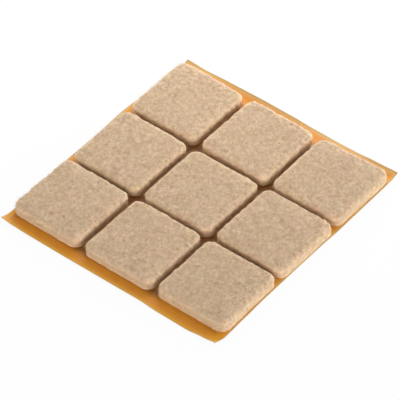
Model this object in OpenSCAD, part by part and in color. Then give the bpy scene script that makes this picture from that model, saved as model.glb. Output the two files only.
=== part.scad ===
// Sheet of self-adhesive felt furniture sliders.
// Square felt pads lie in a grid on one sheet of release paper. Each pad carries an adhesive
// film of its own outline, so a pad and its film peel off together.
// The sheet lies flat: the origin is at the middle of its underside, +Z is up, and the wide
// margins of bare paper are in front (-Y) and behind (+Y).

/* [Felt pads] */
// Side of one square pad
pad_side = 30; // [20:0.5:40]
// Thickness of the felt
felt_thick = 4; // [3:0.1:6]
// Radius of the pad's upright corners, seen from above
corner_r = 3.4; // [2.2:0.1:6]
// Radius of the soft shoulder round the felt's upper edge
shoulder_r = 1.5; // [0.4:0.1:2]

/* [Adhesive] */
// Thickness of the adhesive film under each pad
adhesive_thick = 0.2; // [0.1:0.05:0.5]

/* [Grid] */
// Clear gap between neighbouring pads
pad_gap = 2.2; // [1:0.1:6]

/* [Release liner] */
// Thickness of the release paper
liner_thick = 0.12; // [0.06:0.02:0.3]
// Bare paper in front of the front row
front_margin = 5.2; // [0:0.1:15]
// Bare paper behind the back row
back_margin = 4.2; // [0:0.1:15]
// Bare paper to the left of the left column
left_margin = 1; // [0:0.1:10]
// Bare paper to the right of the right column
right_margin = 0.6; // [0:0.1:10]

/* [Hidden] */
$fn = 96;

// Places in the grid, by the name of the row and of the column
ROWS = ["front", "middle", "back"];
COLUMNS = ["left", "centre", "right"];
function place(row, column) = str(ROWS[row], "_", COLUMNS[column]);
PLACES = [for (row = [0 : len(ROWS) - 1]) for (column = [0 : len(COLUMNS) - 1]) place(row, column)];

// Distance from one pad's middle to the next
pitch = pad_side + pad_gap;
// Outer size of the grid of pads
grid_w = len(COLUMNS) * pitch - pad_gap;
grid_l = len(ROWS) * pitch - pad_gap;
// Size of the sheet of paper, which is what the pads leave bare and what they cover
liner_w = left_margin + grid_w + right_margin;
liner_l = front_margin + grid_l + back_margin;
// Middle of the front left pad
first_x = -liner_w / 2 + left_margin + pad_side / 2;
first_y = -liner_l / 2 + front_margin + pad_side / 2;
// Levels at which the films and the felt start
adhesive_z = liner_thick;
felt_z = adhesive_z + adhesive_thick;
// Straight run between two corner rounds, which is also the side of the pad's square core
straight_run = pad_side - 2 * corner_r;

// Half of the felt's rim in section: upright outside, with the shoulder round at the top
module felt_rim_section() {
    square([corner_r - shoulder_r, felt_thick]);
    square([corner_r, felt_thick - shoulder_r]);
    translate([corner_r - shoulder_r, felt_thick - shoulder_r]) intersection() {
        circle(r = shoulder_r);
        square(shoulder_r);
    }
}

// Half of the film's rim in section, which is a plain cut edge
module adhesive_rim_section() {
    square([corner_r, adhesive_thick]);
}

// A square slab with round corners: a square core, and the rim section carried round it
module rounded_slab(height) {
    translate([-straight_run / 2, -straight_run / 2, 0]) cube([straight_run, straight_run, height]);
    for (quarter = [0 : 3]) rotate([0, 0, 90 * quarter]) translate([straight_run / 2, 0, 0]) {
        rotate([90, 0, 0]) linear_extrude(straight_run, center = true) children();
        translate([0, straight_run / 2, 0]) rotate_extrude(angle = 90) children();
    }
}

// Puts a piece at its pad's place in the grid, at the level where that piece starts
module at_place(row, column, level) {
    translate([first_x + column * pitch, first_y + row * pitch, level]) children();
}

module release_liner() {
    color([0.86, 0.58, 0.22])
    translate([-liner_w / 2, -liner_l / 2, 0]) cube([liner_w, liner_l, liner_thick]);
}

module adhesive_film() {
    color([0.93, 0.88, 0.74]) rounded_slab(adhesive_thick) adhesive_rim_section();
}

module felt_pad() {
    color([0.80, 0.69, 0.57]) rounded_slab(felt_thick) felt_rim_section();
}

release_liner();
for (row = [0 : len(ROWS) - 1]) for (column = [0 : len(COLUMNS) - 1]) {
    at_place(row, column, adhesive_z) adhesive_film();
    at_place(row, column, felt_z) felt_pad();
}
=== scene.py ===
"""Looks of a sheet of self-adhesive felt furniture sliders, laid out as a Blender add-on.

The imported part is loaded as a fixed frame, and each piece is made in place in it: the sheet of
release paper with its curled margins, the adhesive films, the needled felt pads, and the loose
fibres that lie on the felt. All lengths are in metres, apart from the tables that say otherwise.
"""

import itertools
import math

import bpy
import numpy as np
from bpy.props import FloatProperty, FloatVectorProperty, IntProperty, PointerProperty
from mathutils import Color, Matrix, Vector


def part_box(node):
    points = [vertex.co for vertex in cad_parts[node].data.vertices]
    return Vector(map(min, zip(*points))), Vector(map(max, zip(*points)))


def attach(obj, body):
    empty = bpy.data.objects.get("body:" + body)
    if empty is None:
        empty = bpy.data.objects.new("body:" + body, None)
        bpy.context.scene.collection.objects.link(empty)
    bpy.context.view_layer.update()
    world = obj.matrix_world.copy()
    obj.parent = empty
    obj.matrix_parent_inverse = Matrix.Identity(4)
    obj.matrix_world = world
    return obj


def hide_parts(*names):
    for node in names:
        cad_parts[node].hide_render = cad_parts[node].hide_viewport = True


bl_info = {
    "name": "Felt furniture sliders",
    "version": (1, 0, 0),
    "blender": (4, 5, 0),
    "location": "View3D > Sidebar > Sliders",
    "description": "Dresses a sheet of self-adhesive felt sliders on release paper",
    "category": "Add Mesh",
}

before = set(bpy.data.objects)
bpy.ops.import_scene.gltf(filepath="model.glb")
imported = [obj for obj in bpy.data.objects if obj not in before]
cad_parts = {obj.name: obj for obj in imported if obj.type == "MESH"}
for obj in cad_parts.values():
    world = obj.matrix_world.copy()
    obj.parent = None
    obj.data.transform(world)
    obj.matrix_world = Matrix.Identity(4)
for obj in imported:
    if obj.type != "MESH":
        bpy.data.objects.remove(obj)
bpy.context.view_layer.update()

MM = 0.001
TINY = 1e-12
FELT_NODE = "felt_pad_"
FILM_NODE = "adhesive_film_"
PLACES = sorted(name.removeprefix(FELT_NODE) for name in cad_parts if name.startswith(FELT_NODE))
LINER_LOW, LINER_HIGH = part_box("release_liner")
FELT_BOXES = {place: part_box(FELT_NODE + place) for place in PLACES}
GRID_LOW = np.min([low for low, high in FELT_BOXES.values()], axis=0)
GRID_HIGH = np.max([high for low, high in FELT_BOXES.values()], axis=0)
GRID_MIDDLE = (GRID_LOW + GRID_HIGH) / 2
PAD_SIDE = FELT_BOXES[PLACES[0]][1].x - FELT_BOXES[PLACES[0]][0].x
PITCH = (GRID_HIGH[0] - GRID_LOW[0] - PAD_SIDE) / 2
LANE_FADE = 4 * MM
# How far each pad lies off its place in the even grid, across and along the sheet, and how much longer
# than square it is at the left and right ends of its back edge, in millimetres
PAD_CUTS = {
    "front_left": (-0.15, 0.05, 0.4, -0.2),
    "front_centre": (0.05, 0.1, 0, 0),
    "front_right": (0, 0.52, 0, 0),
    "middle_left": (0.22, -0.27, 0.4, -0.2),
    "middle_centre": (0.2, -0.35, 0, 0),
    "middle_right": (0.2, 0.13, 0, 0),
    "back_left": (0, -0.12, 0.9, 0),
    "back_centre": (0.1, -0.35, 0.55, 0.05),
    "back_right": (0.1, -0.28, 0.2, 0.85),
}
MIDDLES = {
    place: (low + high) / 2 + Vector((PAD_CUTS[place][0] * MM, PAD_CUTS[place][1] * MM, 0))
    for place, (low, high) in FELT_BOXES.items()
}
# How far the paper's edges stray outwards: shares of the way along an edge, and millimetres
LEFT_EDGE = (
    (0, -0.4), (0.07, -0.5), (0.2, 0), (0.38, 0.95), (0.5, 0.9),
    (0.66, 1.4), (0.8, 0.6), (0.92, -0.3), (1, -0.5),
)
RIGHT_EDGE = (
    (0, 0.1), (0.05, 0.45), (0.16, 0.15), (0.28, -0.1), (0.41, -0.1),
    (0.58, 0), (0.66, 0.25), (0.8, 0.15), (1, 0.05),
)
FRONT_EDGE = ((0, 0), (0.64, 0), (0.73, 0.18), (0.86, 0.26), (0.95, -0.1), (1, 0))
# How high the paper's ends curl: shares of the way across, and millimetres
FRONT_LIFT = (
    (0, 1.3), (0.06, 0.6), (0.12, 0.35), (0.3, 0.2), (0.5, 0.33),
    (0.65, 0.5), (0.75, 0.05), (0.88, 0), (0.94, 0.45), (1, 1.4),
)
BACK_LIFT = (
    (0, 1.0), (0.09, 0.45), (0.2, 0.85), (0.37, 1.05), (0.5, 0.8),
    (0.62, 0.27), (0.74, 0), (0.8, 0.1), (0.9, 0.7), (1, 1.1),
)
CURL_POWER = 1.6
# Noises of the surfaces: the share of each in its sum, its cell in millimetres and its seed
NEEDLING = ((0.6, 0.7, 11), (0.9, 1.6, 12), (1.6, 6, 13))
EDGE_WANDER = ((1, 7, 14),)
EDGE_FRAY = ((1, 1.4, 15), (0.6, 0.8, 16))
DIMPLES = ((1, 1.8, 31), (1, 0.9, 32))
LATTICE = 64
# Rings of points on a pad's top, shoulder and wall, and on a film's face and rolled edge
TOP_RINGS = 46
SHOULDER_RINGS = 13
WALL_RINGS = 9
FACE_RINGS = 40
EDGE_RINGS = 5
# Points across and along the paper
LINER_GRID = (121, 131)
# The sharpest bend between two faces that is still shown smooth
CUT_EDGE_ANGLE = math.radians(50)
FELT_ANGLE = math.radians(60)
FIBRE_ANGLE = math.radians(150)
# Loose fibres have their roots at least this far above the felt's foot
ROOT_LEVEL = 0.25 * MM


def colour_prop(name, description, screen):
    """A colour property whose default is given as an 8-bit screen colour."""
    linear = Color([value / 255 for value in screen]).from_srgb_to_scene_linear()
    options = {"subtype": "COLOR", "min": 0, "max": 1, "default": linear}
    return FloatVectorProperty(name=name, description=description, **options)


def number_prop(name, description, value, **options):
    """A number property with its default."""
    return FloatProperty(name=name, description=description, default=value, **options)


def length_prop(name, description, millimetres):
    """A length property whose default is given in millimetres."""
    return number_prop(name, description, millimetres * MM, unit="LENGTH", min=0)


def angle_prop(name, description, degrees):
    """An angle property whose default is given in degrees."""
    return number_prop(name, description, math.radians(degrees), subtype="ANGLE")


def place_prop(name, description, millimetres):
    """A property for a place in the frame, whose default is given in millimetres."""
    default = [value * MM for value in millimetres]
    return FloatVectorProperty(name=name, description=description, subtype="TRANSLATION", default=default)


class FeltSettings(bpy.types.PropertyGroup):
    """Sizes and colours of the felt pads and their loose fibres."""

    light_tone: colour_prop("Light fibres", "The lightest wool in the felt", (222, 196, 167))
    dark_tone: colour_prop("Dark fibres", "The darkest wool in the felt", (184, 155, 123))
    fleck_tone: colour_prop("Flecks", "The few brown fibres in the felt", (148, 120, 92))
    rim_tone: colour_prop("Rim", "The cut wall of a pad", (211, 184, 152))
    # Painted shade: the dark colour laid on the walls deep in the lanes between pads
    lane_shade_tone: colour_prop("Lane walls", "The walls deep between the pads", (84, 52, 22))
    # Painted bounce light: the lighter colour laid on the foot of each wall
    foot_light_tone: colour_prop("Foot", "The foot, which has soaked up adhesive", (240, 206, 160))
    straw_tint: colour_prop("Straw tint", "Tint of the felt's yellower patches", (252, 255, 250))
    blush_tint: colour_prop("Blush tint", "Tint of the felt's pinker patches", (255, 252, 254))
    # Painted highlight on the rim of each pad, most in front
    rim_highlight_gain: number_prop("Rim gain", "How much lighter the brushed edge of a pad is", 0.08)
    # Painted bounce light halfway up the walls between the pads, more so towards the back
    lane_bounce_gain: number_prop("Scuff", "How much lighter the walls between the pads are", 0.25)
    # Painted light on the walls that turn a corner at the lane mouths and crossings
    corner_light_gain: number_prop("Bends", "How much lighter the walls round a corner are", 0.5)
    # Painted shade on the rims that face the back or the right across a lane
    rim_shade_gain: number_prop("Dull rims", "How much darker a rim across a lane is", 0.13)
    lane_bounce_depth: length_prop("Scuff depth", "How far down those walls are lighter", 3.2)
    corner: length_prop("Corner radius", "Radius of a pad's upright corners", 3.4)
    shoulder_run: length_prop("Shoulder width", "How far in the top starts to roll over", 2.05)
    shoulder_drop: length_prop("Shoulder height", "How far down the edge the roll reaches", 1.45)
    crown: length_prop("Crown", "How much the top sinks towards its shoulder", 0.12)
    crown_run: length_prop("Crown width", "How far in from the shoulder the top starts to sink", 4)
    relief: length_prop("Relief", "Height of the lumps left by needling", 0.04)
    wander: length_prop("Edge wander", "How far the cut edge strays from its line", 0.16)
    fray: length_prop("Fray", "How ragged the cut edge is", 0.22)
    fibre_count: IntProperty(name="Loose fibres", description="Loose fibres on one pad", default=1600, min=0)
    fibre_length: length_prop("Fibre length", "Mean length of a loose fibre", 1.7)
    fibre_radius: length_prop("Fibre radius", "Radius of a loose fibre at its root", 0.022)


class AdhesiveSettings(bpy.types.PropertyGroup):
    """Colours and sizes of the adhesive films."""

    tone: colour_prop("Adhesive", "The sticky film", (233, 222, 190))
    tissue_tone: colour_prop("Tissue", "The tissue fibres in the film", (246, 240, 222))
    # Painted light: a paler band along the film's edge that lifts the shade at the pads' foot
    edge_tone: colour_prop("Film edge", "The dust on the film's edge", (228, 192, 146))
    roll: length_prop("Edge roll", "Radius of the film's pressed edge", 0.06)
    dimple: length_prop("Dimples", "Depth of the dimples of the tissue", 0.03)


class LinerSettings(bpy.types.PropertyGroup):
    """Colours of the release paper, and how it is trimmed and curled."""

    tone: colour_prop("Paper", "The coated upper side", (218, 138, 31))
    pale_tone: colour_prop("Thin paper", "Where the paper is thin", (228, 152, 43))
    underside_tone: colour_prop("Underside", "The bare underside", (214, 158, 86))
    edge_tone: colour_prop("Cut edge", "The cut edge", (198, 170, 110))
    # Painted contact shade round each pad; the die line takes a little of the same colour
    shade_and_die_line_tone: colour_prop("Glue line", "Where glue has crept out round a pad", (150, 100, 46))
    # Painted shade: the dark colour laid on the paper in the lanes, most where they cross
    lane_shade_tone: colour_prop("Lanes", "The stripped paper between the pads", (86, 50, 32))
    # Lighter, yellower colour laid along the paper's cut edges, within the edge fade
    edge_pale_tone: colour_prop("Worn edge", "The paper along its cut edge", (236, 166, 34))
    # An olive-gold band along the back and sides; on the right side it is painted light on a strip in the
    # key's shadow
    edge_band_tone: colour_prop("Dusty edge", "Dust on all edges but the front", (200, 162, 88))
    haze_tone: colour_prop("Haze", "The thin dust inside the dusty edges", (208, 190, 152))
    edge_fade: length_prop("Edge fade", "How far in the worn colour reaches", 2.2)
    edge_band_reach: length_prop("Dust reach", "How far in the dust reaches", 2.2)
    front_trim: length_prop("Front trim", "How much is trimmed off the front edge", 0.22)
    back_trim: length_prop("Back trim", "How much is trimmed off the back edge", 0.1)
    curl: number_prop("Curl", "Share of the margins' full lift", 1.0)
    # Painted light on the paper's front right corner, which lies in the pads' shadow
    tip_light: number_prop("Tip wear", "How worn the front right corner is", 0.75)


class StageSettings(bpy.types.PropertyGroup):
    """Floor, light and camera."""

    floor_tone: colour_prop("Floor", "The floor", (252, 252, 251))
    floor_white: number_prop("Floor white", "How near to white the floor is where it is seen", 0.92)
    floor_reach: length_prop("Floor reach", "How far the floor goes from its middle", 4000)
    floor_drop: length_prop("Floor drop", "How far below the sheet the floor lies", 0.02)
    sky_level: number_prop("Sky", "Strength of the even light from all round", 0.48)
    band_level: number_prop("Band", "Strength of the low band of light on the right", 4.7)
    band_left: number_prop("Band left", "Share of the band's strength at its far left", 0.25)
    key_power: number_prop("Key", "Power of the near soft box behind", 0.35, unit="POWER")
    key_size: length_prop("Key size", "Side of the soft box", 180)
    key_place: place_prop("Key place", "Middle of the soft box", (-86, 184.5, 127))
    azimuth: angle_prop("Azimuth", "Camera's turn from the front to the right", 39.59)
    elevation: angle_prop("Elevation", "Camera's height above the floor", 45.26)
    roll: angle_prop("Roll", "Camera's tilt about its own axis", -1.0)
    distance: length_prop("Distance", "Distance from the camera to the sheet", 1123.6)
    aim: place_prop("Aim", "Point that the camera looks at", (0.93, -1.1, 0))
    lens: number_prop("Lens", "Focal length", 288, subtype="DISTANCE_CAMERA")


class SliderSettings(bpy.types.PropertyGroup):
    """All settings of the sheet of sliders."""

    felt: PointerProperty(type=FeltSettings)
    adhesive: PointerProperty(type=AdhesiveSettings)
    liner: PointerProperty(type=LinerSettings)
    stage: PointerProperty(type=StageSettings)


def unit(value):
    """A value held between 0 and 1."""
    return np.clip(value, 0, 1)


def eased(share):
    """A share from 0 to 1 that starts and ends level: three squares less two cubes."""
    return share * share * (3 - 2 * share)


def lattice_noise(points, cell, seed):
    """Smooth noise from -1 to 1: random values on a cubic lattice, blended between its corners.

    A point's value is the sum of the eight lattice values round it, each weighted by the
    smoothed share of the way from the opposite corner.
    """
    lattice = np.random.default_rng(seed).uniform(-1, 1, (LATTICE, LATTICE, LATTICE))
    scaled = points / cell
    low = np.floor(scaled).astype(int)
    share = eased(scaled - low)
    total = np.zeros(points.shape[:-1])
    for corner in itertools.product((0, 1), repeat=3):
        weight = np.prod(np.where(corner, share, 1 - share), axis=-1)
        at = (low + corner) % LATTICE
        total += weight * lattice[at[..., 0], at[..., 1], at[..., 2]]
    return total


def noise_sum(points, noises):
    """The sum of a table's noises, each times its share."""
    return sum(share * lattice_noise(points, cell * MM, seed) for share, cell, seed in noises)


def smooth_line(at, line):
    """A line through a few stations that leaves and reaches each of them level.

    Each station is a place and its value in millimetres. Between two of them the value goes by the
    eased share of the way.
    """
    stations, values = np.transpose(line)
    span = np.clip(np.searchsorted(stations, at) - 1, 0, len(stations) - 2)
    share = eased(unit((at - stations[span]) / (stations[span + 1] - stations[span])))
    return MM * (values[span] * (1 - share) + values[span + 1] * share)


def grid_faces(rows, columns):
    """Four-sided faces of a grid of points numbered row by row, rows along X and columns along Y."""
    first = (np.arange(rows - 1)[:, None] * columns + np.arange(columns - 1)).reshape(-1, 1)
    return first + np.array([0, columns, columns + 1, 1])


def border_loop(rows, columns):
    """Numbers of the grid's border points in order, anticlockwise seen from above."""
    along_rows = np.arange(rows - 1)
    along_columns = np.arange(columns - 1)
    return np.concatenate([
        along_rows * columns,
        (rows - 1) * columns + along_columns,
        (rows - 1 - along_rows) * columns + columns - 1,
        columns - 1 - along_columns,
    ])


def slab_faces(points, upside_down=False):
    """Faces of a slab's surface and the one that closes it, turned over if it lies upside down."""
    rows, columns = points.shape[:2]
    faces = grid_faces(rows, columns).tolist() + [border_loop(rows, columns)[::-1].tolist()]
    return [face[::-1] for face in faces] if upside_down else faces


def slab_surface(place, corner, inset, height):
    """Top and walls of a pad's slab with round corners, as rings that grow from its middle.

    Ring k is the slab's outline moved in by inset[k], at height[k]. Along each side a point goes
    evenly from the side's middle along the straight run and round the corner to the diagonal,
    where it meets the next side. The normal turns with the profile from up to outwards.
    A pad that isn't cut square is then drawn out to the back: evenly from its left tail to its right
    one, times the square of the share of the way from its middle to its back edge.
    Returns the points, their normals and their ring numbers.
    """
    middle = MIDDLES[place]
    half = PAD_SIDE / 2
    rings = len(inset) - 1
    row, column = np.mgrid[-rings:rings + 1, -rings:rings + 1]
    ring = np.maximum(np.abs(row), np.abs(column))
    bend = np.clip(corner - inset, 0, None)[ring]
    straight = (half - inset)[ring] - bend
    faces_x = np.abs(row) >= np.abs(column)
    share = np.where(faces_x, np.abs(column), np.abs(row)) / np.maximum(ring, 1)
    travel = share * (straight + bend * math.pi / 4)
    turn = np.clip(travel - straight, 0, None) / np.maximum(bend, TINY)
    along = np.minimum(travel, straight) + bend * np.sin(turn)
    out = straight + bend * np.cos(turn)
    step_out = np.gradient(half - inset)
    step_up = np.gradient(height)
    slope = np.hypot(step_out, step_up)
    lean_out = (-step_up / slope)[ring]
    lean_up = (step_out / slope)[ring]
    side_x = np.sign(row)
    side_y = np.sign(column)
    points = np.stack([
        middle.x + side_x * np.where(faces_x, out, along),
        middle.y + side_y * np.where(faces_x, along, out),
        height[ring],
    ], axis=-1)
    normals = np.stack([
        lean_out * side_x * np.where(faces_x, np.cos(turn), np.sin(turn)),
        lean_out * side_y * np.where(faces_x, np.sin(turn), np.cos(turn)),
        lean_up,
    ], axis=-1)
    left_tail, right_tail = PAD_CUTS[place][2:]
    across = unit((points[..., 0] - middle.x) / PAD_SIDE + 0.5)
    rearward = unit((points[..., 1] - middle.y) / half)
    points[..., 1] += MM * (left_tail + across * (right_tail - left_tail)) * rearward ** 2
    return points, normals, ring


def rolled_edge(run, drop, flat_rings, roll_rings):
    """Section of a slab's flat face and its edge, which is a quarter of an ellipse, run wide and drop high.

    Returns each ring's inset from the outline and its depth below the face.
    """
    flat = np.linspace(PAD_SIDE / 2, run, flat_rings)
    angle = np.linspace(math.pi / 2, 0, roll_rings)[1:]
    inset = np.concatenate([flat, run * (1 - np.cos(angle))])
    depth = np.concatenate([np.zeros(flat_rings), drop * (1 - np.sin(angle))])
    return inset, depth


def felt_profile(settings, base, top):
    """Section of a felt pad from its middle out: flat top, rolled shoulder and upright wall.

    The top sinks by the crown times the square of the share of the way to its shoulder.
    Returns each ring's inset from the outline and its height.
    """
    run = settings.shoulder_run
    inset, depth = rolled_edge(run, settings.shoulder_drop, TOP_RINGS, SHOULDER_RINGS)
    height = top - settings.crown * unit(1 - (inset - run) / settings.crown_run) ** 2 - depth
    wall = np.linspace(height[-1], base, WALL_RINGS)[1:]
    return np.append(inset, np.zeros(len(wall))), np.append(height, wall)


def felt_masks(settings, place, points, normals, inset, rim):
    """What the felt's material reads at each point of a pad, much of it painted light and shade.

    Gain is a factor on the felt's colour. It is over 1 on the rim, most in front, as a painted
    highlight; halfway up the walls between two pads, more so towards the back, as painted bounce
    light; and on the walls that turn a corner, those that face ahead where lanes cross and those
    where a lane opens to the left or the back, as painted light. It is under 1 on the rims that face
    the back or the right across a lane, as painted shade. Wall is 1 below the shoulder. Foot is 1 at
    the base and fades out upwards; it carries painted bounce light. Lane does so too, but only between
    two pads and from the walls' lower half down, more so near the front and less so on a corner that
    faces forward and right; it carries painted shade. It reaches furthest out at the right.
    right. It reaches furthest out at the right.
    """
    corner_reach = 1.5
    highlight_power = 4
    front_bounce = 0.4
    shade_start = 0.4
    shade_full = 0.8
    shade_right = 3
    corner_relief = 0.7
    foot_power = 5
    low, high = FELT_BOXES[place]
    x, y, z = np.moveaxis(points, -1, 0)
    to_left = (x - GRID_LOW[0]) / LANE_FADE
    to_right = (GRID_HIGH[0] - x) / LANE_FADE
    to_front = (y - GRID_LOW[1]) / LANE_FADE
    to_back = (GRID_HIGH[1] - y) / LANE_FADE
    sideways = np.maximum(np.hypot(normals[..., 0], normals[..., 1]), TINY)
    rightward = normals[..., 0] / sideways
    backward = normals[..., 1] / sideways
    depth = high.z - z
    wall = unit(depth / settings.shoulder_drop)
    sunk = unit(depth / (high.z - low.z))
    from_middle = np.minimum(np.abs(x - MIDDLES[place].x), np.abs(y - MIDDLES[place].y))
    turned = unit((from_middle - PAD_SIDE / 2) / settings.corner + corner_reach)
    ahead = unit((rightward - backward) / math.sqrt(2)) ** 2

    within = unit(np.minimum.reduce([to_left, to_right, to_front, to_back]))
    # Painted highlight on the rim
    highlighted = rim ** highlight_power * (1 - wall ** highlight_power) * (1 + unit(-backward))
    # Painted bounce light halfway down the walls between two pads
    halfway = unit(depth / settings.lane_bounce_depth)
    rearward = unit((y - GRID_LOW[1]) / (GRID_HIGH[1] - GRID_LOW[1]))
    lane_bounce = within * (front_bounce + (1 - front_bounce) * rearward) * 4 * halfway * (1 - halfway)
    # Painted light on walls that turn a corner where lanes cross or open
    inner = np.minimum(np.abs(x - GRID_MIDDLE[0]), np.abs(y - GRID_MIDDLE[1])) < PITCH
    opens = unit(1 - np.minimum(to_left, to_back))
    bend = inner * turned * wall * (within * ahead + opens)
    roll_middle = 0.6 * settings.shoulder_run
    roll_reach = 0.4 * settings.shoulder_run
    # Painted shade on rims across a lane
    rim_shade = within * unit(rightward / 2 + backward) * unit(1 - np.abs(inset - roll_middle) / roll_reach)
    gain = 1 + settings.rim_highlight_gain * highlighted + settings.lane_bounce_gain * lane_bounce
    gain += settings.corner_light_gain * bend - settings.rim_shade_gain * rim_shade

    behind = unit(to_front)
    beside = unit(to_right)
    faces_side = rightward ** 2
    # Painted shade on the walls deep in the lanes, where little light reaches
    lane = unit(np.minimum.reduce([to_left, shade_right * to_right, to_back]))
    lane *= eased(unit((sunk - shade_start) / (shade_full - shade_start)))
    lane *= behind + (1 - behind) * faces_side
    lane *= 1 - corner_relief * turned * ahead * behind * beside
    lane *= beside + (1 - beside) * (1 - faces_side)
    lane *= 1 + faces_side * unit(1 - to_front / 2)
    return {"gain": gain, "wall": wall, "lane": lane, "foot": sunk ** foot_power}


def felt_surface(settings, place):
    """A felt pad's surface, pushed along its normals by the lumps of the needling.

    The push is the sum of three noises of growing cell: fibre bundles, needle tufts and the
    slow waves of a hand-sized sheet. The cut edge's wander and fray fade from the rim inwards.
    Returns the points, their normals and what the material reads there.
    """
    low, high = FELT_BOXES[place]
    ring_inset, height = felt_profile(settings, low.z, high.z)
    points, normals, ring = slab_surface(place, settings.corner, ring_inset, height)
    inset = ring_inset[ring]
    rim = unit(1 - inset / (settings.shoulder_run + settings.crown_run / 2))
    push = settings.relief * noise_sum(points, NEEDLING)
    push += rim * settings.wander * noise_sum(points, EDGE_WANDER)
    push += rim * settings.fray * noise_sum(points, EDGE_FRAY)
    points = points + normals * push[..., None]
    return points, normals, felt_masks(settings, place, points, normals, inset, rim)


def fibre_strands(points, normals, floor, settings, seed):
    """Loose fibres as three-sided tapering strands that start on the felt and lie along it.

    At share t a strand's middle line is its root, plus its length times t along its heading and
    times its bow and t squared to the side, plus a rise along the normal that is highest halfway.
    Returns the strands' points and faces.
    """
    random = np.random.default_rng(seed)
    count = settings.fibre_count
    rings = 6
    sides = 3
    steepness = 0.3
    taper = 0.55
    picked = random.integers(0, len(points), count)
    root = points[picked]
    normal = normals[picked]
    heading = np.cross(normal, random.normal(size=(count, 3)))
    heading[:, 2] *= steepness
    heading /= np.linalg.norm(heading, axis=1, keepdims=True)
    sideways = np.cross(normal, heading)
    length = settings.fibre_length * random.uniform(0.5, 1.5, count)
    bow = random.uniform(-0.6, 0.6, count)
    rise = random.uniform(0.03, 0.22, count) * MM
    tip = random.uniform(-0.02, 0.16, count) * MM
    share = np.linspace(0, 1, rings)
    forward = length[:, None] * share
    aside = length[:, None] * bow[:, None] * share ** 2
    up = rise[:, None] * np.sin(math.pi * share) + tip[:, None] * share ** 2
    line = (
        root[:, None]
        + forward[..., None] * heading[:, None]
        + aside[..., None] * sideways[:, None]
        + up[..., None] * normal[:, None]
    )
    radius = settings.fibre_radius * (1 - taper * share)
    angle = np.linspace(0, 2 * math.pi, sides, endpoint=False)
    ring = (
        np.cos(angle)[:, None] * sideways[:, None, None]
        + np.sin(angle)[:, None] * normal[:, None, None]
    )
    line[..., 2] = np.maximum(line[..., 2], floor + 2 * settings.fibre_radius)
    tube = line[:, :, None] + radius[:, None, None] * ring
    first = np.arange(count)[:, None, None] * rings * sides
    start = first + np.arange(rings - 1)[:, None] * sides
    onward = start + sides
    side = np.arange(sides)
    following = (side + 1) % sides
    walls = np.stack([start + side, start + following, onward + following, onward + side], axis=-1)
    caps = np.concatenate([first[:, 0] + side[::-1], first[:, 0] + sides * (rings - 1) + side])
    return tube.reshape(-1, 3), walls.reshape(-1, 4).tolist() + caps.tolist()


def film_surface(settings, place, corner):
    """Underside and edge of an adhesive film, with the dimples of its tissue.

    It is a slab surface turned upside down: flat face below, a rolled edge, and a short wall up to
    the felt. The dimples only go up into the film, so that it lies flat on the paper.
    """
    low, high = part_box(FILM_NODE + place)
    roll = settings.roll
    inset, depth = rolled_edge(roll, roll, FACE_RINGS, EDGE_RINGS)
    inset = np.append(inset, 0)
    height = np.append(low.z + depth, high.z)
    points, _, ring = slab_surface(place, corner, inset, height)
    dimple = settings.dimple * unit(noise_sum(points, DIMPLES))
    points[..., 2] += np.where(inset[ring] > roll, dimple, 0)
    return points


def liner_surface(settings):
    """Upper side of the release paper: flat under the pads, with wavy cut sides and curled margins.

    Across the sheet a point goes evenly from the left edge to the right one, and along it from the
    front edge to the back one. All but the back edge stray a little from a straight line. The lift at
    a point is that of the nearer margin's edge there, times a power of the share of the way from the
    pads to that edge, so that the paper leaves the pads level. Lightened falls evenly from 1 at each cut
    edge to 0, and the corners are more lightened, so the paper there is lighter and yellower; the front
    right one most, which is painted light on a corner that lies in the pads' shadow. Edge band falls
    from the back edge, and twice as fast from the sides, and fades out towards the front; it carries an
    olive-gold band, which on the right side is painted light on a strip in the key's shadow.
    Returns the points, how lightened they are and how far into the edge band they lie.
    """
    across = np.linspace(0, 1, LINER_GRID[0])[:, None]
    along = np.linspace(0, 1, LINER_GRID[1])[None, :]
    left = LINER_LOW.x - smooth_line(along, LEFT_EDGE)
    right = LINER_HIGH.x + smooth_line(along, RIGHT_EDGE)
    near = LINER_LOW.y + settings.front_trim - smooth_line(across, FRONT_EDGE)
    far = LINER_HIGH.y - settings.back_trim
    x = left + across * (right - left)
    y = near + along * (far - near)
    front_share = unit((GRID_LOW[1] - y) / (GRID_LOW[1] - LINER_LOW.y))
    back_share = unit((y - GRID_HIGH[1]) / (LINER_HIGH.y - GRID_HIGH[1]))
    lift = smooth_line(across, FRONT_LIFT) * front_share ** CURL_POWER
    lift += smooth_line(across, BACK_LIFT) * back_share ** CURL_POWER
    to_side = np.minimum(x - left, right - x)
    to_end = np.minimum(y - near, far - y)
    to_tip = np.hypot(right - x, y - near)
    worn = 1 - unit(to_side / settings.edge_fade) * unit(to_end / settings.edge_fade)
    # Painted light on the front right corner
    worn = np.maximum(worn, settings.tip_light * unit(2 - to_tip / LANE_FADE))
    to_dusty = np.minimum(2 * to_side, far - y)
    dusty = unit(1 - to_dusty / settings.edge_band_reach) * unit((y - GRID_LOW[1]) / LANE_FADE)
    return np.stack([x, y, LINER_HIGH.z + settings.curl * lift], axis=-1), worn, dusty


def mesh_piece(name, points, faces, smooth_angle=None):
    """A mesh object at the origin, smooth up to the given angle between faces."""
    mesh = bpy.data.meshes.new(name)
    mesh.from_pydata(points.reshape(-1, 3).tolist(), [], faces)
    if smooth_angle is not None:
        mesh.shade_smooth()
        mesh.set_sharp_from_angle(angle=smooth_angle)
    piece = bpy.data.objects.new(name, mesh)
    bpy.context.scene.collection.objects.link(piece)
    return piece


def set_attribute(piece, name, values):
    """Keeps one number for each point of the piece, which its material reads."""
    attribute = piece.data.attributes.new(name, "FLOAT", "POINT")
    attribute.data.foreach_set("value", np.asarray(values, dtype=np.float32).ravel())


def fit_piece(piece, material, body, node=None):
    """Gives a piece its material and the body it moves with, and hides the node it stands for."""
    piece.data.materials.append(material)
    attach(piece, body)
    if node is not None:
        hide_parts(node)


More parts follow.
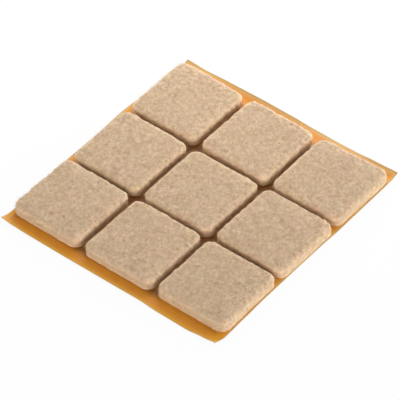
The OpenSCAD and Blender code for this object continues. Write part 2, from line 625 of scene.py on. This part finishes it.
class Wiring:
    """Adds shader nodes to a node tree and wires them up."""

    def __init__(self, tree):
        self.tree = tree
        tree.nodes.clear()

    def connect(self, node, inputs):
        """Links each input that is given as a socket and sets the others, colours with full alpha."""
        for name, value in inputs.items():
            socket = node.inputs[name]
            if isinstance(value, bpy.types.NodeSocket):
                self.tree.links.new(value, socket)
            elif socket.type == "RGBA":
                socket.default_value = (*value, 1)
            else:
                socket.default_value = value

    def add(self, kind, inputs=None, **settings):
        """The outputs of a new shader node with its settings and inputs."""
        node = self.tree.nodes.new("ShaderNode" + kind)
        for name, value in settings.items():
            setattr(node, name, value)
        self.connect(node, inputs or {})
        return node.outputs

    def place(self):
        """The place of each point in the frame."""
        return self.add("TexCoord")["Object"]

    def attribute(self, name):
        """A number that the piece keeps for each of its points."""
        return self.add("Attribute", attribute_name=name)["Fac"]

    def math(self, operation, first, second=0.0):
        """The result of a calculation with one or two numbers."""
        return self.add("Math", {0: first, 1: second}, operation=operation)[0]

    def times(self, value, share):
        """A share of a number, or the product of two."""
        return self.math("MULTIPLY", value, share)

    def raised(self, value, mask, share):
        """A number raised by a share of a mask."""
        return self.math("ADD", value, self.times(mask, share))

    def vector(self, operation, first, second=(0, 0, 0)):
        """The result of a calculation with one or two vectors."""
        return self.add("VectorMath", {0: first, 1: second}, operation=operation)[0]

    def parts(self, vector):
        """The parts of a vector by the names of their axes."""
        return self.add("SeparateXYZ", {0: vector})

    def span(self, value, low, high, start=0.0, end=1.0):
        """A number carried smoothly from the span low to high to the span start to end."""
        inputs = {"Value": value, "From Min": low, "From Max": high, "To Min": start, "To Max": end}
        return self.add("MapRange", inputs, interpolation_type="SMOOTHSTEP")[0]

    def noise(self, place, scale, detail, roughness=0.55):
        """Cloudy noise round one half."""
        inputs = {"Vector": place, "Scale": scale, "Detail": detail, "Roughness": roughness}
        return self.add("TexNoise", inputs)

    def stretched(self, place, size, turn=0.0):
        """Coordinates in which a pattern comes out drawn to a size and then turned about Z."""
        inputs = {"Vector": place, "Rotation": (0, 0, turn), "Scale": size}
        return self.add("Mapping", inputs, vector_type="TEXTURE")[0]

    def colours(self, share, first, second, blend_type="MIX"):
        """A mix of two colours."""
        inputs = {0: share, 6: first, 7: second}
        return self.add("Mix", inputs, data_type="RGBA", blend_type=blend_type)[2]

    def layered(self, shade, *layers):
        """A shade with tones laid over it in turn, each by its own mask."""
        for tone, mask in layers:
            shade = self.colours(mask, shade, tone)
        return shade

    def brightened(self, shade, factor):
        """A shade times a number."""
        grey = self.add("CombineColor", {0: factor, 1: factor, 2: factor})[0]
        return self.colours(1.0, shade, grey, "MULTIPLY")

    def group(self, make, place, *sizes, **numbers):
        """The results of a node group, which bears its maker's name and is made only once."""
        tree = bpy.data.node_groups.get(make.__name__) or make(make.__name__, *sizes)
        return self.add("Group", {"Vector": place, **numbers}, node_tree=tree)

    def give(self, results):
        """Ends a node group with the numbers that it gives."""
        for name in results:
            self.tree.interface.new_socket(name, in_out="OUTPUT", socket_type="NodeSocketFloat")
        self.connect(self.tree.nodes.new("NodeGroupOutput"), results)


def new_group(name, *numbers):
    """A node group that takes a place and some numbers: its tree, its wiring and what it is given."""
    tree = bpy.data.node_groups.new(name, "ShaderNodeTree")
    tree.interface.new_socket("Vector", in_out="INPUT", socket_type="NodeSocketVector")
    for number in numbers:
        tree.interface.new_socket(number, in_out="INPUT", socket_type="NodeSocketFloat")
    wires = Wiring(tree)
    return tree, wires, tree.nodes.new("NodeGroupInput").outputs


def fibre_tangle(name):
    """Crossing fibres: long bent cells of which only the seams show, in three directions."""
    tree, wires, given = new_group(name, "Density", "Width")
    wander = wires.noise(given["Vector"], given["Density"], detail=1)
    centred = wires.vector("SUBTRACT", wander["Color"], (0.5, 0.5, 0.5))
    reach = wires.math("DIVIDE", 2.0, given["Density"])
    bent = wires.add("VectorMath", {0: centred, "Scale": reach}, operation="SCALE")[0]
    place = wires.vector("ADD", given["Vector"], bent)
    cell = (3.3, 1, 1)
    strands = 0.0
    for turn in (0.3, 1.4, 2.5):
        inputs = {"Vector": wires.stretched(place, cell, turn), "Scale": given["Density"]}
        seam = wires.add("TexVoronoi", inputs, feature="DISTANCE_TO_EDGE")["Distance"]
        strands = wires.math("MAXIMUM", strands, wires.span(seam, 0, given["Width"], 1, 0))
    wires.give({"Strands": strands})
    return tree


def cloudy_mottle(name):
    """Clouds of light and dark round one half, with their contrast."""
    tree, wires, given = new_group(name, "Scale", "Contrast")
    cloud = wires.noise(given["Vector"], given["Scale"], detail=5, roughness=0.62)[0]
    spread = wires.times(wires.math("SUBTRACT", cloud, 0.5), given["Contrast"])
    shown = wires.add("Math", {0: spread, 1: 0.5}, operation="ADD", use_clamp=True)[0]
    wires.give({"Cloud": shown})
    return tree


def pad_outline(name, corner):
    """The pads' outlines on the sheet: the distance to the nearest pad's rounded square, as masks.

    A point is taken to its own pad's middle, folded into one quarter and measured from the middle of
    the corner round. Inside is 1 where a pad lies, Line is 1 along its outline, and Lane is 1 where
    lanes cross, one half between two pads, and fades out towards the edge of the grid, soonest at
    the left, the right and the back. Lane is where the paper takes its painted shade between the pads.
    """
    tree, wires, given = new_group(name, "Width")
    straight = PAD_SIDE / 2 - corner
    blur = 0.1 * MM
    side_lead = 3 * MM
    grid_half = 1.5 * PITCH + 1 * MM
    centred = wires.vector("SUBTRACT", given["Vector"], (GRID_MIDDLE[0], GRID_MIDDLE[1], 0))
    counted = wires.vector("DIVIDE", centred, (PITCH, PITCH, 1))
    number = wires.vector("FLOOR", wires.vector("ADD", counted, (0.5, 0.5, 0.5)))
    capped = wires.vector("MINIMUM", number, (1, 1, 1))
    number = wires.vector("MAXIMUM", capped, (-1, -1, -1))
    pad_middle = wires.vector("MULTIPLY", number, (PITCH, PITCH, 0))
    folded = wires.vector("ABSOLUTE", wires.vector("SUBTRACT", centred, pad_middle))
    beyond = wires.vector("SUBTRACT", folded, (straight, straight, 0))
    outside = wires.vector("MAXIMUM", beyond, (0, 0, 0))
    flat = wires.vector("MULTIPLY", outside, (1, 1, 0))
    length = wires.add("VectorMath", {0: flat}, operation="LENGTH")["Value"]
    distance = wires.math("SUBTRACT", length, corner)
    line = wires.span(wires.math("ABSOLUTE", distance), 0, given["Width"], 1, 0)
    inside = wires.span(distance, -blur, blur, 1, 0)
    apart = wires.parts(wires.vector("ABSOLUTE", centred))
    open_side = wires.math("MAXIMUM", apart["X"], wires.parts(centred)["Y"])
    from_middle = wires.math("MAXIMUM", wires.math("ADD", open_side, side_lead), apart["Y"])
    within = wires.span(from_middle, grid_half - LANE_FADE, grid_half, 1, 0)
    past = wires.parts(beyond)
    nearer = wires.math("MINIMUM", past["X"], past["Y"])
    crossing = wires.span(nearer, -corner / 2, corner / 2, 0.5, 1)
    bare = wires.math("SUBTRACT", 1.0, inside)
    lane = wires.times(wires.times(within, bare), crossing)
    wires.give({"Inside": inside, "Line": line, "Lane": lane})
    return tree


def new_material(name):
    """An empty node material and its wiring."""
    material = bpy.data.materials.new(name)
    material.use_nodes = True
    return material, Wiring(material.node_tree)


def close_material(wires, inputs, height, distance, strength):
    """Ends a material with a bump from its height and a Principled shader."""
    bump = wires.add("Bump", {"Height": height, "Distance": distance, "Strength": strength})
    shader = wires.add("BsdfPrincipled", {**inputs, "Normal": bump[0]})
    wires.add("OutputMaterial", {"Surface": shader[0]})


def needle_felt_material(settings):
    """Needled wool felt: mottled fibres, a few brown flecks and layered walls, with painted light and shade:
    a highlight on the rim, bounce light and shade in the lanes, and bounce light at the foot.
    """
    material, wires = new_material("needle_felt")
    place = wires.place()
    grain_place = wires.stretched(place, size=(0.88, 1.12, 1), turn=0.69)
    grain = wires.group(cloudy_mottle, grain_place, Scale=800, Contrast=2.5)["Cloud"]
    tufts = wires.group(cloudy_mottle, place, Scale=420, Contrast=2.0)["Cloud"]
    patches = wires.noise(place, scale=170, detail=1)[0]
    layers_place = wires.stretched(place, size=(1.5, 1.5, 0.7))
    layers = wires.group(cloudy_mottle, layers_place, Scale=900, Contrast=2.6)["Cloud"]
    strands = wires.group(fibre_tangle, place, Density=1500, Width=0.12)["Strands"]
    flecks_place = wires.stretched(place, size=(1, 1.7, 1), turn=0.5)
    flecks = wires.noise(flecks_place, scale=1300, detail=1)[0]
    shade = wires.colours(grain, settings.dark_tone, settings.light_tone)
    side_shade = wires.colours(layers, settings.dark_tone, settings.rim_tone)
    shade = wires.colours(wires.times(wires.attribute("wall"), share=0.6), shade, side_shade)
    shade = wires.brightened(shade, wires.span(tufts, low=0, high=1, start=0.92, end=1.08))
    patched = wires.span(patches, low=0.3, high=0.7)
    tint = wires.colours(patched, settings.straw_tint, settings.blush_tint)
    shade = wires.layered(
        wires.colours(1.0, shade, tint, "MULTIPLY"),
        (settings.fleck_tone, wires.span(flecks, low=0.63, high=0.78, end=0.7)),
        (settings.light_tone, wires.times(strands, share=0.2)),
    )
    # The gain lays painted highlights, bounce light and shade on the felt
    shade = wires.layered(
        wires.brightened(shade, wires.attribute("gain")),
        # Painted bounce light on the foot of the walls
        (settings.foot_light_tone, wires.times(wires.attribute("foot"), share=0.7)),
        # Painted shade deep in the lanes
        (settings.lane_shade_tone, wires.times(wires.attribute("lane"), share=0.36)),
    )
    height = wires.raised(grain, strands, share=0.3)
    surface = {
        "Base Color": shade,
        "Roughness": 0.95,
        "Specular IOR Level": 0.15,
        "Subsurface Weight": 0.5,
        "Subsurface Radius": (1, 0.85, 0.7),
        "Subsurface Scale": 1.4 * MM,
        "Sheen Weight": 0.12,
        "Sheen Roughness": 0.5,
        "Sheen Tint": settings.light_tone,
    }
    close_material(wires, surface, height, distance=0.1 * MM, strength=0.3)
    return material


def loose_fibre_material(settings):
    """Loose wool fibres, lighter than the felt that they lie on."""
    material, wires = new_material("loose_wool_fibre")
    cloud = wires.group(cloudy_mottle, wires.place(), Scale=700, Contrast=3)["Cloud"]
    surface = {
        "Base Color": wires.colours(cloud, settings.dark_tone, settings.light_tone),
        "Roughness": 0.8,
        "Specular IOR Level": 0.2,
    }
    close_material(wires, surface, cloud, distance=0.01 * MM, strength=0.3)
    return material


def adhesive_material(settings, corner):
    """Glossy adhesive on tissue: pale crossing fibres under a sticky skin, with a paler band painted along
    its edge that lifts the shade at the pads' foot.
    """
    material, wires = new_material("tissue_adhesive")
    place = wires.place()
    strands = wires.group(fibre_tangle, place, Density=420, Width=0.06)["Strands"]
    cloud = wires.group(cloudy_mottle, place, Scale=260, Contrast=2.2)["Cloud"]
    edge = wires.group(pad_outline, place, corner, Width=0.3 * MM)["Line"]
    shade = wires.layered(
        settings.tone,
        (settings.tissue_tone, wires.times(strands, share=0.6)),
        (settings.tissue_tone, wires.times(cloud, share=0.3)),
        # Painted light along the film's edge
        (settings.edge_tone, wires.times(edge, share=0.85)),
    )
    height = wires.raised(cloud, strands, share=0.3)
    surface = {
        "Base Color": shade,
        "Roughness": wires.span(cloud, low=0, high=1, start=0.16, end=0.36),
        "Specular IOR Level": 0.5,
        "Coat Weight": 0.4,
        "Coat Roughness": 0.15,
    }
    close_material(wires, surface, height, distance=0.08 * MM, strength=0.4)
    return material


def release_paper_material(settings, corner):
    """Glassine release paper: amber and cloudy, satin above, duller below, with the pads' die lines."""
    material, wires = new_material("release_paper")
    place = wires.place()
    underside = wires.attribute("underside")
    worn = wires.attribute("worn")
    dusty = wires.attribute("dusty")
    cloud = wires.group(cloudy_mottle, place, Scale=240, Contrast=2)["Cloud"]
    strands = wires.group(fibre_tangle, place, Density=300, Width=0.05)["Strands"]
    pads = wires.group(pad_outline, place, corner, Width=0.22 * MM)
    # A soft band round each pad, where a contact shadow is painted
    contact_shade = wires.group(pad_outline, place, corner, Width=1.2 * MM)["Line"]
    upper = wires.span(underside, low=0.02, high=0.2)
    lower = wires.span(underside, low=0.8, high=0.98, start=1, end=0)
    shade = wires.layered(
        settings.tone,
        (settings.pale_tone, cloud),
        (settings.pale_tone, wires.times(strands, share=0.12)),
        # Painted contact shade round the pads
        (settings.shade_and_die_line_tone, wires.times(contact_shade, share=0.2)),
        (settings.edge_pale_tone, worn),
        (settings.edge_tone, wires.span(worn, low=0.76, high=0.9, end=0.7)),
        (settings.haze_tone, wires.span(dusty, low=0, high=0.5, end=0.35)),
        # The olive-gold edge band, painted light where the right strip lies in the key's shadow
        (settings.edge_band_tone, wires.span(dusty, low=0.61, high=0.77, end=0.75)),
        # Painted shade on the paper in the lanes and where they cross
        (settings.lane_shade_tone, wires.times(pads["Lane"], share=0.8)),
        # The die line, a real mark, in a little of the same colour
        (settings.shade_and_die_line_tone, wires.times(pads["Line"], share=0.05)),
        (settings.underside_tone, wires.span(underside, low=0.6, high=1)),
        (settings.edge_tone, wires.times(upper, lower)),
    )
    gloss = wires.span(cloud, low=0, high=1, start=0.45, end=0.58)
    gloss = wires.raised(gloss, pads["Inside"], share=-0.08)
    roughness = wires.raised(gloss, underside, share=0.25)
    height = wires.raised(cloud, pads["Line"], share=-1.5)
    surface = {"Base Color": shade, "Roughness": roughness, "Specular IOR Level": 0.3}
    close_material(wires, surface, height, distance=0.03 * MM, strength=0.4)
    return material


class SLIDERS_OT_release_liner(bpy.types.Operator):
    """Lays the sheet of release paper, a closed thin sheet with curled margins"""

    bl_idname = "sliders.release_liner"
    bl_label = "Lay release liner"

    def execute(self, context):
        settings = context.scene.sliders.liner
        corner = context.scene.sliders.felt.corner
        upper, worn, dusty = liner_surface(settings)
        rows, columns = upper.shape[:2]
        count = rows * columns
        lower = upper - np.array([0, 0, LINER_HIGH.z - LINER_LOW.z])
        above = grid_faces(rows, columns)
        below = above[:, ::-1] + count
        loop = border_loop(rows, columns)
        following = np.roll(loop, -1)
        edge = np.stack([loop, loop + count, following + count, following], axis=1)
        points = np.concatenate([upper.reshape(-1, 3), lower.reshape(-1, 3)])
        faces = np.concatenate([above, below, edge]).tolist()
        piece = mesh_piece("glassine_liner", points, faces, CUT_EDGE_ANGLE)
        set_attribute(piece, "underside", np.repeat([0.0, 1.0], count))
        set_attribute(piece, "worn", np.tile(worn.ravel(), 2))
        set_attribute(piece, "dusty", np.tile(dusty.ravel(), 2))
        fit_piece(piece, release_paper_material(settings, corner), "sheet", "release_liner")
        return {"FINISHED"}


class SLIDERS_OT_adhesive_films(bpy.types.Operator):
    """Puts the adhesive film under each pad"""

    bl_idname = "sliders.adhesive_films"
    bl_label = "Coat adhesive films"

    def execute(self, context):
        settings = context.scene.sliders.adhesive
        corner = context.scene.sliders.felt.corner
        material = adhesive_material(settings, corner)
        for place in PLACES:
            points = film_surface(settings, place, corner)
            faces = slab_faces(points, upside_down=True)
            piece = mesh_piece(f"tissue_film_{place}", points, faces, CUT_EDGE_ANGLE)
            fit_piece(piece, material, f"pad_{place}", FILM_NODE + place)
        return {"FINISHED"}


class SLIDERS_OT_felt_pads(bpy.types.Operator):
    """Makes the needled felt pads and the loose fibres on them"""

    bl_idname = "sliders.felt_pads"
    bl_label = "Cut felt pads"

    def execute(self, context):
        settings = context.scene.sliders.felt
        felt = needle_felt_material(settings)
        wool = loose_fibre_material(settings)
        for number, place in enumerate(PLACES):
            points, normals, masks = felt_surface(settings, place)
            pad = mesh_piece(f"needle_felt_{place}", points, slab_faces(points), FELT_ANGLE)
            for name, mask in masks.items():
                set_attribute(pad, name, mask)
            fit_piece(pad, felt, f"pad_{place}", FELT_NODE + place)
            base = FELT_BOXES[place][0].z
            clear = points[..., 2] > base + ROOT_LEVEL
            strands, faces = fibre_strands(points[clear], normals[clear], base, settings, number)
            fuzz = mesh_piece(f"loose_fibres_{place}", strands, faces, FIBRE_ANGLE)
            fit_piece(fuzz, wool, f"pad_{place}")
        return {"FINISHED"}


def seen_directly(wires):
    """1 for the rays that show a background: from the camera, a reflection or through glass."""
    path = wires.add("LightPath")
    seen = wires.math("MAXIMUM", path["Is Camera Ray"], path["Is Glossy Ray"])
    return wires.math("MAXIMUM", seen, path["Is Transmission Ray"])


def floor_material(settings):
    """A pale floor, nearly white where it is seen, with a faint shadow, and clear from below."""
    material, wires = new_material("pale_floor")
    shaded = wires.add("BsdfDiffuse", {"Color": settings.floor_tone})[0]
    white = wires.add("Emission", {"Color": (1, 1, 1), "Strength": 1.0})[0]
    share = wires.times(seen_directly(wires), settings.floor_white)
    upper = wires.add("MixShader", {0: share, 1: shaded, 2: white})[0]
    below = wires.add("NewGeometry")["Backfacing"]
    clear = wires.add("BsdfTransparent")[0]
    mixed = wires.add("MixShader", {0: below, 1: upper, 2: clear})
    wires.add("OutputMaterial", {"Surface": mixed[0]})
    return material


def white_sky(scene, settings):
    """Even light from all round and a low band that fades to the left, white where it is seen."""
    scene.world = bpy.data.worlds.new("studio_sky")
    scene.world.use_nodes = True
    wires = Wiring(scene.world.node_tree)
    band_side = (0.88, 0.46, 0)
    direction = wires.add("TexCoord")["Generated"]
    upward = wires.parts(direction)["Z"]
    band = wires.span(upward, low=0.1, high=0.5, start=settings.band_level, end=0)
    band = wires.times(band, wires.math("GREATER_THAN", upward, 0.0))
    aim = wires.add("VectorMath", {0: direction, 1: band_side}, operation="DOT_PRODUCT")["Value"]
    across = {"Value": aim, "From Min": -1.0, "To Min": settings.band_left}
    band = wires.times(band, wires.add("MapRange", across)[0])
    strength = wires.math("ADD", band, settings.sky_level)
    light = wires.add("Background", {"Color": (1, 1, 1), "Strength": strength})[0]
    white = wires.add("Background", {"Color": (1, 1, 1), "Strength": 1.0})[0]
    mixed = wires.add("MixShader", {0: seen_directly(wires), 1: light, 2: white})
    wires.add("OutputWorld", {"Surface": mixed[0]})


def facing(origin, target, roll=0.0):
    """A place that looks at a target, turned by roll about the line of sight."""
    back = (origin - target).normalized()
    level = Vector((0, 0, 1)).cross(back).normalized()
    upright = back.cross(level)
    right = level * math.cos(roll) + upright * math.sin(roll)
    up = upright * math.cos(roll) - level * math.sin(roll)
    turned = Matrix((right, up, back)).transposed().to_4x4()
    return Matrix.Translation(origin) @ turned


def key_box(scene, settings):
    """A square soft box that faces the middle of the sheet."""
    lamp = bpy.data.lights.new("key_box", "AREA")
    lamp.shape = "SQUARE"
    lamp.size = settings.key_size
    lamp.energy = settings.key_power
    box = bpy.data.objects.new("key_box", lamp)
    scene.collection.objects.link(box)
    box.visible_camera = False
    box.matrix_world = facing(Vector(settings.key_place), Vector((0, 0, 0)))


class SLIDERS_OT_stage(bpy.types.Operator):
    """Sets the floor, the light and the camera"""

    bl_idname = "sliders.stage"
    bl_label = "Set stage"

    def execute(self, context):
        scene = context.scene
        settings = scene.sliders.stage
        corners = np.array([(-1, -1, 0), (1, -1, 0), (1, 1, 0), (-1, 1, 0)]) * settings.floor_reach
        corners[:, 2] -= settings.floor_drop
        floor = mesh_piece("floor", corners, [(0, 1, 2, 3)])
        floor.data.materials.append(floor_material(settings))
        white_sky(scene, settings)
        key_box(scene, settings)
        aim = Vector(settings.aim)
        across = math.cos(settings.elevation)
        sight = Vector((
            math.sin(settings.azimuth) * across,
            -math.cos(settings.azimuth) * across,
            math.sin(settings.elevation),
        ))
        lens = bpy.data.cameras.new("camera")
        lens.lens = settings.lens
        camera = bpy.data.objects.new("camera", lens)
        scene.collection.objects.link(camera)
        camera.matrix_world = facing(aim + sight * settings.distance, aim, settings.roll)
        scene.camera = camera
        scene.view_settings.view_transform = "Standard"
        return {"FINISHED"}


class SLIDERS_PT_panel(bpy.types.Panel):
    """Lists the settings and the steps in the sidebar"""

    bl_idname = "SLIDERS_PT_panel"
    bl_label = "Felt sliders"
    bl_space_type = "VIEW_3D"
    bl_region_type = "UI"
    bl_category = "Sliders"

    def draw(self, context):
        settings = context.scene.sliders
        for group in (settings.liner, settings.adhesive, settings.felt, settings.stage):
            column = self.layout.column()
            for name in group.__annotations__:
                column.prop(group, name)
        for step in STEPS:
            self.layout.operator(step.bl_idname)


STEPS = (SLIDERS_OT_stage, SLIDERS_OT_release_liner, SLIDERS_OT_adhesive_films, SLIDERS_OT_felt_pads)
SETTINGS = (FeltSettings, AdhesiveSettings, LinerSettings, StageSettings, SliderSettings)
CLASSES = (*SETTINGS, *STEPS, SLIDERS_PT_panel)


def register():
    for kind in CLASSES:
        bpy.utils.register_class(kind)
    bpy.types.Scene.sliders = PointerProperty(type=SliderSettings)


def unregister():
    del bpy.types.Scene.sliders
    for kind in reversed(CLASSES):
        bpy.utils.unregister_class(kind)


def main():
    """Builds the whole scene."""
    register()
    bpy.ops.sliders.stage()
    bpy.ops.sliders.release_liner()
    bpy.ops.sliders.adhesive_films()
    bpy.ops.sliders.felt_pads()


if __name__ == "__main__":
    main()
